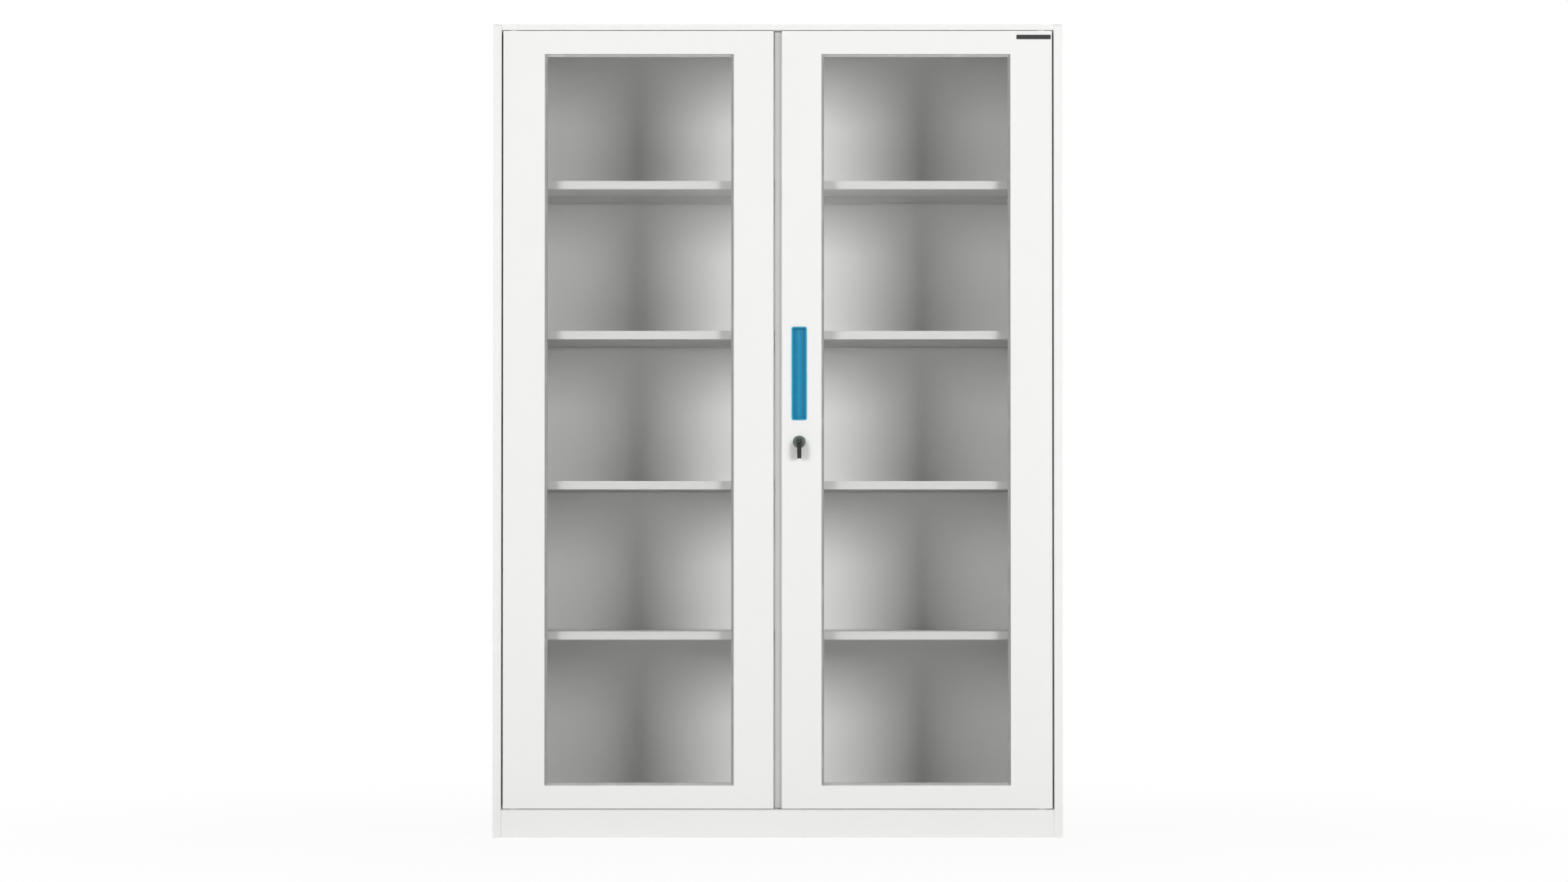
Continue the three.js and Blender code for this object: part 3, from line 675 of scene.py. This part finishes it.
@dataclass
class DustStrips:
    """Dark rubber beside each hinge edge: a thin strip on the jamb and a flap behind the gap. Both are near-black
    sheets put where the gaps only hold shade: painted shade.
    """

    finishes: Finishes
    jamb_thickness: float = 0.7 * MM
    jamb_setback: float = 3.0 * MM
    jamb_depth: float = 21.0 * MM
    flap_width: float = 17.0 * MM
    flap_lip: float = 5.0 * MM
    flap_thickness: float = 1.2 * MM
    lip_share: float = 0.4
    swing_room: float = 15.3 * MM
    end_gap: float = 2.0 * MM
    jamb_round: float = 0.3 * MM
    jamb_edge: float = 0.05 * MM
    flap_edge: float = 0.12 * MM

    def build(self) -> None:
        """Models both strips of each side."""
        for hand in Hand:
            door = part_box(f"{hand.word}_door_frame")
            self._jamb_strip(hand, door)
            self._flap(hand, door)

    def _block(self, name: str, door: tuple[Vector, Vector], across: tuple[float, float],
               deep: tuple[float, float]) -> bpy.types.Object:
        """Adds a block as tall as the door, open in edit mode.

        Args:
            name: Name of the new piece.
            door: Lowest and highest corner of the door frame.
            across: Where it starts and ends along X, in any order.
            deep: Where it starts and ends along Y.

        Returns:
            The piece.
        """
        return Bench.block(name, Vector((min(across), deep[0], door[0].z + self.end_gap)),
                           Vector((max(across), deep[1], door[1].z - self.end_gap)))

    def _jamb_strip(self, hand: Hand, door: tuple[Vector, Vector]) -> None:
        """Models the strip on the side panel's return, with rounded long edges.

        Args:
            hand: The side.
            door: Lowest and highest corner of the door frame.
        """
        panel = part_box(f"{hand.word}_side_panel")
        jamb = panel[0].x if hand is Hand.RIGHT else panel[1].x
        front = panel[0].y + self.jamb_setback
        strip = self._block(f"{hand.word}_jamb_strip", door, (jamb, jamb - hand.value * self.jamb_thickness),
                            (front, front + self.jamb_depth))
        Bench.pick_edges(strip, lambda m, d: abs(d.z) > 0.9)
        Bench.round_edges(self.jamb_round)
        Bench.close(strip, self.jamb_edge)
        # near-black strip on the jamb: painted shade of the hinge gap
        mount(strip, "carcass", self.finishes.dust_strip)

    def _flap(self, hand: Hand, door: tuple[Vector, Vector]) -> None:
        """Models the flap on the side sheet, drawn out to a thinner lip, clear of the door's swing.

        Args:
            hand: The side.
            door: Lowest and highest corner of the door frame.
        """
        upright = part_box(f"{hand.word}_front_upright")
        root = upright[1].x if hand is Hand.RIGHT else upright[0].x
        front = door[1].y + self.swing_room
        flap = self._block(f"{hand.word}_dust_flap", door, (root, root - hand.value * self.flap_width),
                           (front, front + self.flap_thickness))
        Bench.pick_faces(flap, lambda c, n: n.x * hand.value < -0.9)
        Bench.push(Vector((-hand.value * self.flap_lip, 0, 0)))
        middle = (0.0, front + self.flap_thickness / 2, 0.0)
        bpy.ops.transform.resize(value=(1.0, self.lip_share, 1.0), center_override=middle)
        Bench.close(flap, self.flap_edge)
        # near-black flap behind the gap: painted shade of the hinge gap
        mount(flap, "carcass", self.finishes.dust_strip)


@dataclass
class ShelfSet:
    """Four tray shelves, each on four plated clips."""

    finishes: Finishes
    count: int = 4
    fold: float = 0.45 * MM
    clip_fold: float = 0.3 * MM

    def dress(self) -> None:
        """Paints the trays and plates the clips."""
        for number in range(1, self.count + 1):
            dress(f"shelf_{number}", self.finishes.paint, self.fold)
            for hand in Hand:
                for place in ("front", "rear"):
                    dress(f"shelf_{number}_clip_{hand.word}_{place}", self.finishes.zinc, self.clip_fold)


@dataclass
class Catch:
    """A magnetic catch under the top, and the thin strike on the door that it holds."""

    finishes: Finishes
    hand: Hand
    strike_size: tuple[float, float] = (30 * MM, 9 * MM)
    strike_thickness: float = 0.35 * MM
    strike_drop: float = 3.5 * MM
    strike_corner: float = 2.0 * MM
    strike_edge: float = 0.1 * MM
    face_setback: float = 0.6 * MM
    housing_corner: float = 2.0 * MM
    housing_edge: float = 0.4 * MM
    mouth_border: float = 1.6 * MM
    mouth_depth: float = 0.9 * MM
    pole_height: float = 2.2 * MM
    pole_offset: float = 2.2 * MM
    pole_inset: float = 5 * MM
    pole_depth: float = 6 * MM
    pole_corner: float = 0.8 * MM
    pole_edge: float = 0.15 * MM

    def build(self) -> None:
        """Models the housing with its pole plates, and the strike."""
        word = self.hand.word
        low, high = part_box(f"{word}_magnetic_catch")
        housing = Bench.block(f"{word}_catch_housing", low + Vector((0, self.face_setback, 0)), high)
        Bench.pick_edges(housing, lambda m, d: abs(d.z) > 0.9)
        Bench.round_edges(self.housing_corner)
        Bench.pick_faces(housing, lambda c, n: n.y < -0.9)
        Bench.inset(self.mouth_border)
        Bench.push(Vector((0, self.mouth_depth, 0)))
        Bench.close(housing, self.housing_edge)
        mount(housing, "carcass", self.finishes.catch_plastic)
        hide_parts(f"{word}_magnetic_catch")
        self._poles(low, high)
        self._strike(low, high)

    def _poles(self, low: Vector, high: Vector) -> None:
        """Models the two pole plates that stand in the housing's mouth.

        Args:
            low: Lowest corner of the catch.
            high: Its highest corner.
        """
        middle = (low.z + high.z) / 2
        for place, centre in (("upper", middle + self.pole_offset), ("lower", middle - self.pole_offset)):
            plate = Bench.block(f"{self.hand.word}_catch_pole_{place}",
                                Vector((low.x + self.pole_inset, low.y, centre - self.pole_height / 2)),
                                Vector((high.x - self.pole_inset, low.y + self.pole_depth,
                                        centre + self.pole_height / 2)))
            Bench.pick_edges(plate, lambda m, d: abs(d.z) > 0.9)
            Bench.round_edges(self.pole_corner)
            Bench.close(plate, self.pole_edge)
            mount(plate, "carcass", self.finishes.zinc)

    def _strike(self, low: Vector, high: Vector) -> None:
        """Models the strike plate on the back of the door.

        Args:
            low: Lowest corner of the catch.
            high: Its highest corner.
        """
        door_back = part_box(f"{self.hand.word}_door_back_cover")[1].y
        centre = Vector(((low.x + high.x) / 2, door_back, (low.z + high.z) / 2 - self.strike_drop))
        half = Vector((self.strike_size[0] / 2, 0, self.strike_size[1] / 2))
        plate = Bench.block(f"{self.hand.word}_catch_strike", centre - half,
                            centre + half + Vector((0, self.strike_thickness, 0)))
        Bench.pick_edges(plate, lambda m, d: abs(d.y) > 0.9)
        Bench.round_edges(self.strike_corner, 4)
        Bench.close(plate, self.strike_edge)
        mount(plate, f"{self.hand.word}_door", self.finishes.zinc)


@dataclass
class Door:
    """A glazed door: pan, back cover, pane, rubber, pivots and the rivets of its back cover."""

    finishes: Finishes
    rivet: Rivet
    hand: Hand
    fold: float = 0.45 * MM
    pane_edge: float = 0.5 * MM
    rubber_edge: float = 0.3 * MM
    pin_edge: float = 0.4 * MM
    bush_edge: float = 0.3 * MM
    lip_fold: float = 0.4 * MM
    rivet_heights: tuple[float, ...] = (90 * MM, 412 * MM, 734 * MM, 1056 * MM, 1378 * MM, 1695 * MM)

    def dress(self) -> None:
        """Paints the sheets, clears the pane and plates the pivots; the closing lip gets a darker copy of the coat
        as painted shade.
        """
        word = self.hand.word
        f = self.finishes
        dress(f"{word}_door_frame", f.paint, self.fold)
        dress(f"{word}_door_back_cover", f.paint, self.fold)
        dress(f"{word}_door_glass", f.glass, self.pane_edge)
        dress(f"{word}_door_gasket", f.gasket, self.rubber_edge)
        for place in ("top", "bottom"):
            dress(f"{word}_{place}_pivot_pin", f.zinc, self.pin_edge)
            dress(f"{word}_{place}_pivot_bush", f.nylon, self.bush_edge)
        if self.hand is Hand.RIGHT:
            # darker coat on the closing lip: painted shade of its recess between the doors
            dress("right_door_closing_lip", f.shaded_paint, self.lip_fold)

    def build(self) -> None:
        """Rivets the back cover along both stiles."""
        word = self.hand.word
        low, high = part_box(f"{word}_door_back_cover")
        pane_low, pane_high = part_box(f"{word}_door_glass")
        for stile, x in (("a", (low.x + pane_low.x) / 2), ("b", (high.x + pane_high.x) / 2)):
            for number, z in enumerate(self.rivet_heights, start=1):
                piece = self.rivet.set(f"{word}_cover_rivet_{stile}{number}", Vector((x, high.y, z)), Facing.BACK)
                mount(piece, f"{word}_door", self.finishes.zinc)


@dataclass
class MeetingSeal:
    """A grey rubber bead on the free edge of the left door, which fills the gap to the closing lip. It is a grey
    sheet put where the gap only holds shade: painted shade.
    """

    finishes: Finishes
    clearance: float = 0.6 * MM
    setback: float = 11.0 * MM
    depth: float = 6.0 * MM
    end_gap: float = 2.0 * MM
    bead: float = 1.6 * MM
    edge: float = 0.15 * MM
    near_root: float = 0.5 * MM

    def build(self) -> None:
        """Models the bead, round towards the right door."""
        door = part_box("left_door_frame")
        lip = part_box("right_door_closing_lip")
        front = door[0].y + self.setback
        seal = Bench.block("meeting_seal", Vector((door[1].x, front, door[0].z + self.end_gap)),
                           Vector((lip[0].x - self.clearance, front + self.depth, door[1].z - self.end_gap)))
        Bench.pick_edges(seal, lambda m, d: abs(d.z) > 0.9 and m.x > door[1].x + self.near_root)
        Bench.round_edges(self.bead, 4)
        Bench.close(seal, self.edge)
        # grey rubber that sets the tone of the gap between the doors: painted shade
        mount(seal, "left_door", self.finishes.gasket)


@dataclass
class BlankPlate:
    """A small dark plate without words, near the top outer corner of the right door."""

    finishes: Finishes
    centre: tuple[float, float] = (551.5 * MM, 1723 * MM)
    size: tuple[float, float] = (74 * MM, 9.5 * MM)
    thickness: float = 0.9 * MM
    corner: float = 1.2 * MM
    border: float = 0.8 * MM
    sink: float = 0.25 * MM
    edge: float = 0.12 * MM

    def build(self) -> None:
        """Models the plate with a raised border."""
        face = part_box("right_door_frame")[0].y
        half = Vector((self.size[0] / 2, 0, self.size[1] / 2))
        middle = Vector((self.centre[0], face, self.centre[1]))
        plate = Bench.block("blank_plate", middle - half - Vector((0, self.thickness, 0)), middle + half)
        Bench.pick_edges(plate, lambda m, d: abs(d.y) > 0.9)
        Bench.round_edges(self.corner, 4)
        Bench.pick_faces(plate, lambda c, n: n.y < -0.9)
        Bench.inset(self.border)
        Bench.push(Vector((0, self.sink, 0)))
        Bench.close(plate, self.edge)
        mount(plate, "right_door", self.finishes.plate)


@dataclass
class FlushPull:
    """The blue moulded pull: a flat rim round a deep cup with drawn-in walls."""

    finishes: Finishes
    rim: float = 2.0 * MM
    cup_border: float = 3.5 * MM
    mouth: float = 3.3 * MM
    wall: float = 1.5 * MM
    corner: float = 4.0 * MM
    draft: tuple[float, float, float] = (0.86, 1.0, 0.985)
    edge: float = 0.7 * MM

    def build(self) -> None:
        """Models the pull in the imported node's own box."""
        low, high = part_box("door_pull")
        centre = (low + high) / 2
        pull = Bench.block("door_pull_moulding", low, Vector((high.x, low.y + self.rim, high.z)))
        Bench.pick_edges(pull, lambda m, d: abs(d.y) > 0.9)
        Bench.round_edges(self.corner, 5)
        Bench.pick_faces(pull, lambda c, n: n.y > 0.9)
        Bench.inset(self.cup_border)
        Bench.push(Vector((0, high.y - low.y - self.rim, 0)))
        Bench.pick_faces(pull, lambda c, n: n.y < -0.9)
        Bench.inset(self.mouth)
        Bench.push(Vector((0, high.y - low.y - self.wall, 0)))
        bpy.ops.transform.resize(value=self.draft, center_override=tuple(centre))
        Bench.close(pull, self.edge)
        mount(pull, "right_door", self.finishes.pull_plastic)
        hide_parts("door_pull")


@dataclass
class RodLock:
    """The keyed lock with its cam, its two locking rods and the folding key."""

    finishes: Finishes

    def dress(self) -> None:
        """Plates the metal and colours the key's bow."""
        f = self.finishes
        # lock housing, plug and key blade take the darkened nickel: partly their own tone, partly painted dark
        # reflection
        for name, finish, edge in (
            ("lock_housing", f.nickel, 0.35 * MM), ("lock_plug", f.nickel, 0.25 * MM),
            ("lock_nut", f.zinc, 0.4 * MM), ("lock_cam", f.zinc, 0.3 * MM),
            ("upper_locking_rod", f.zinc, 0.3 * MM), ("lower_locking_rod", f.zinc, 0.3 * MM),
            ("key_blade", f.nickel, 0.2 * MM), ("key_bow", f.key_plastic, 0.8 * MM),
        ):
            dress(name, finish, edge)


@dataclass
class SoftBox:
    """One soft lamp of the studio."""

    name: str
    place: tuple[float, float, float]
    aim: tuple[float, float, float]
    size: tuple[float, float]
    power: float

    def build(self) -> None:
        """Hangs the lamp and aims it."""
        data = bpy.data.lights.new(self.name, "AREA")
        data.shape = "RECTANGLE"
        data.size, data.size_y = self.size
        data.energy = self.power
        lamp = bpy.data.objects.new(self.name, data)
        lamp.location = self.place
        lamp.rotation_euler = (Vector(self.aim) - Vector(self.place)).to_track_quat("-Z", "Y").to_euler()
        lamp.visible_glossy = False
        bpy.context.scene.collection.objects.link(lamp)
        LOG.info("%s at %.0f W", self.name, self.power)


@dataclass
class Studio:
    """White surroundings, pale floor, soft lamps and the camera of the photograph."""

    floor_size: float = 14.0
    floor_colour: Colour = (0.9, 0.9, 0.9)
    floor_white: float = 0.92
    floor_fade: tuple[float, float] = (0.6, 2.6)
    floor_drop: float = 0.5 * MM
    ambient: float = 0.03
    distance: float = 8.5
    eye_height: float = 0.55
    centre: tuple[float, float] = (0.0137, 0.852)
    shift: float = 0.05
    scale: float = 1.7565 * MM
    sensor: float = 36.0
    lamps: tuple[SoftBox, ...] = (
        SoftBox("left_soft_box", (-3.9, -5.1, 2.0), (0.0, -0.18, 1.0), (2.0, 2.2), 176.0),
        SoftBox("right_soft_box", (3.75, -5.1, 2.0), (0.0, -0.18, 1.0), (2.0, 2.2), 192.0),
        SoftBox("top_soft_box", (0.0, 0.2, 4.2), (0.0, 0.2, 0.0), (3.0, 2.5), 60.0),
        SoftBox("back_soft_box", (0.0, 6.4, 2.6), (0.0, 0.2, 0.9), (3.4, 2.6), 215.0),
    )

    def build(self) -> None:
        """Sets up everything round the cabinet."""
        self._world()
        self._floor()
        for lamp in self.lamps:
            lamp.build()
        self._camera()
        bpy.context.scene.view_settings.view_transform = "Standard"

    def _world(self) -> None:
        """White where the camera, a mirror or a pane looks at it, and a weak fill elsewhere."""
        world = bpy.data.worlds.new("white_studio")
        bpy.context.scene.world = world
        world.use_nodes = True
        tree = world.node_tree
        tree.nodes.clear()
        rays = node(tree, "ShaderNodeLightPath")
        seen = rays["Is Camera Ray"] + rays["Is Glossy Ray"] + rays["Is Transmission Ray"]
        fill = node(tree, "ShaderNodeBackground", None, {"Color": (1.0, 1.0, 1.0), "Strength": self.ambient})
        white = node(tree, "ShaderNodeBackground", None, {"Color": (1.0, 1.0, 1.0), "Strength": 1.0})
        both = node(tree, "ShaderNodeMixShader", None, {0: seen.at_most(1.0), 1: fill["Background"],
                                                        2: white["Background"]})
        node(tree, "ShaderNodeOutputWorld", None, {"Surface": both["Shader"]})

    def _floor(self) -> None:
        """A wide pale floor that goes over into the white surroundings and keeps the cabinet's shadow."""
        Bench.clear()
        bpy.ops.mesh.primitive_plane_add(size=self.floor_size, location=(0, 0, -self.floor_drop))
        floor = bpy.context.object
        floor.name = "floor"
        bpy.ops.object.transform_apply(location=True, rotation=True, scale=True)
        r = Recipe("pale_floor")
        rays = r.add("ShaderNodeLightPath")
        seen = (rays["Is Camera Ray"] + rays["Is Glossy Ray"] + rays["Is Transmission Ray"]).at_most(1.0)
        distance = r.add("ShaderNodeVectorMath", {"operation": "LENGTH"}, {0: r.place})["Value"]
        away = distance.band(*self.floor_fade)
        matt = r.add("ShaderNodeBsdfDiffuse", None, {"Color": self.floor_colour})["BSDF"]
        white = r.add("ShaderNodeEmission", None, {"Color": (1.0, 1.0, 1.0), "Strength": 1.0})["Emission"]
        share = seen * (self.floor_white + away * (1.0 - self.floor_white))
        both = r.add("ShaderNodeMixShader", None, {0: share, 1: matt, 2: white})["Shader"]
        r.add("ShaderNodeOutputMaterial", None, {"Surface": both})
        floor.data.materials.append(r.material)

    def _camera(self) -> None:
        """A long lens in front of the doors, with the frame of the photograph."""
        width = PHOTO_WIDTH * self.scale
        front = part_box("right_door_frame")[0].y
        x, z = self.centre
        rise = z - self.eye_height - self.shift * width
        data = bpy.data.cameras.new("front_camera")
        data.sensor_width = self.sensor
        data.lens = self.sensor * math.hypot(self.distance, rise) / width
        data.shift_y = self.shift
        data.clip_end = 100.0
        camera = bpy.data.objects.new("front_camera", data)
        camera.location = (x, front - self.distance, self.eye_height)
        camera.rotation_euler = (math.pi / 2 + math.atan2(rise, self.distance), 0.0, 0.0)
        bpy.context.scene.collection.objects.link(camera)
        bpy.context.scene.camera = camera


def build_all(parts: Iterable[Any]) -> None:
    """Dresses and builds each sub-assembly in turn."""
    for part in parts:
        for step in ("dress", "build"):
            if hasattr(part, step):
                getattr(part, step)()


def main() -> None:
    """Builds the studio and every sub-assembly of the cabinet."""
    logging.basicConfig(level=logging.INFO, format="%(name)s: %(message)s")
    finishes = Finishes.mix_all()
    rivet = Rivet()
    rivet.model()
    Studio().build()
    build_all([
        Carcass(finishes, rivet),
        DustStrips(finishes),
        ShelfSet(finishes),
        *(Door(finishes, rivet, hand) for hand in Hand),
        *(Catch(finishes, hand) for hand in Hand),
        MeetingSeal(finishes),
        BlankPlate(finishes),
        FlushPull(finishes),
        RodLock(finishes),
    ])


if __name__ == "__main__":
    main()
